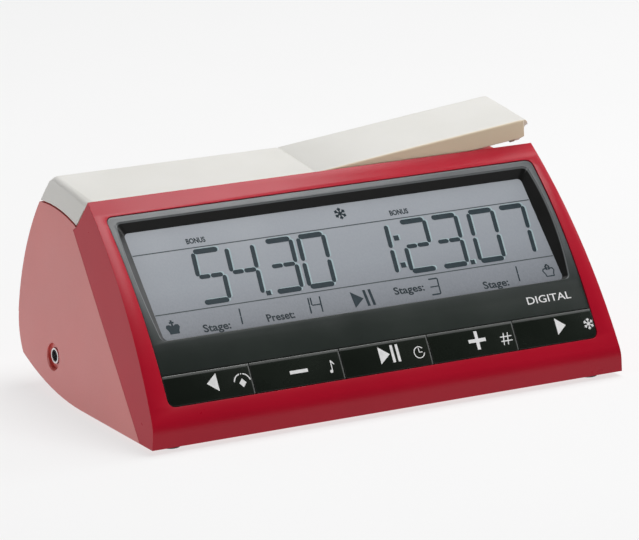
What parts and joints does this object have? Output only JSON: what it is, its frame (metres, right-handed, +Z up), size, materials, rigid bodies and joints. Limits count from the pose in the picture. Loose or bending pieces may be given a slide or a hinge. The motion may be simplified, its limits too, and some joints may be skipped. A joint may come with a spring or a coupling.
{
  "type": "digital chess clock",
  "caption": "Wedge-shaped digital game timer with a rocking lever along the top, a wide display, a row of front buttons and a battery door underneath.",
  "frame": {"origin": "centre of the footprint, at the surface the feet stand on", "axes": "+X along the clock to the right as a player reads the display, +Y towards the rear, +Z up"},
  "size_m": [0.22, 0.1218, 0.1018],
  "materials": {
    "red_shell": "satin pearl",
    "ivory_lever": "satin",
    "dark_bezel": "fine matt texture",
    "button_black": "satin",
    "lcd": "smooth display surface",
    "white_plastic": "moulded",
    "black_plastic": "moulded",
    "circuit_board": "solder resist",
    "silicone": "matt",
    "foot_rubber": "matt",
    "steel": "plated",
    "cell": "printed sleeve"
  },
  "bodies": {
    "housing": {"front_frame": "red_shell", "rear_shell": "red_shell", "base_cover": "red_shell", "display_bezel": "dark_bezel", "lcd_glass": "lcd", "lcd_reflector": "white_plastic", "lcd_holder": "white_plastic", "contact_strips": "silicone", "main_board": "circuit_board", "board_components": "black_plastic", "board_screws": "steel", "keypad_membrane": "silicone", "keypad_board": "circuit_board", "keypad_ribbon": "silicone", "pivot_pin": "steel", "stop_plates": "steel", "lever_sensors": "steel", "sensor_board": "circuit_board", "battery_tray": "black_plastic", "battery_cells": "cell", "battery_contacts": "steel", "power_switch": "black_plastic", "power_board": "circuit_board", "buzzer": "black_plastic", "jack_socket": "black_plastic", "jack_ring": "steel", "jack_board": "circuit_board", "housing_screws": "steel", "rubber_feet": "foot_rubber"},
    "lever": {"rocker_lever": "ivory_lever", "lever_magnets": "steel"},
    "key_back": {"button_back": "button_black"},
    "key_minus": {"button_minus": "button_black"},
    "key_play_pause": {"button_play_pause": "button_black"},
    "key_plus": {"button_plus": "button_black"},
    "key_forward": {"button_forward": "button_black"},
    "power_key": {"power_button": "button_black"},
    "door": {"battery_door": "red_shell"}
  },
  "joints": [
    {"name": "lever_rock", "type": "hinge", "parent": "housing", "child": "lever", "pos_m": [0, 0.02492, 0.0823], "axis": [0, 1, 0], "range_deg": [0, 6]},
    {"name": "back_press", "type": "slide", "parent": "housing", "child": "key_back", "axis": [0, 0.8613, -0.5081], "range_m": [0, 0.0008], "stiffness_N_per_m": 900, "springref_m": -0.0002},
    {"name": "minus_press", "type": "slide", "parent": "housing", "child": "key_minus", "axis": [0, 0.8613, -0.5081], "range_m": [0, 0.0008], "stiffness_N_per_m": 900, "springref_m": -0.0002},
    {"name": "play_pause_press", "type": "slide", "parent": "housing", "child": "key_play_pause", "axis": [0, 0.8613, -0.5081], "range_m": [0, 0.0008], "stiffness_N_per_m": 900, "springref_m": -0.0002},
    {"name": "plus_press", "type": "slide", "parent": "housing", "child": "key_plus", "axis": [0, 0.8613, -0.5081], "range_m": [0, 0.0008], "stiffness_N_per_m": 900, "springref_m": -0.0002},
    {"name": "forward_press", "type": "slide", "parent": "housing", "child": "key_forward", "axis": [0, 0.8613, -0.5081], "range_m": [0, 0.0008], "stiffness_N_per_m": 900, "springref_m": -0.0002},
    {"name": "power_press", "type": "slide", "parent": "housing", "child": "power_key", "axis": [0, 0, 1], "range_m": [0, 0.001], "stiffness_N_per_m": 700, "springref_m": -0.0002},
    {"name": "door_swing", "type": "hinge", "parent": "housing", "child": "door", "pos_m": [0, 0.00532, 0.0033], "axis": [1, 0, 0], "range_deg": [0, 95]}
  ]
}
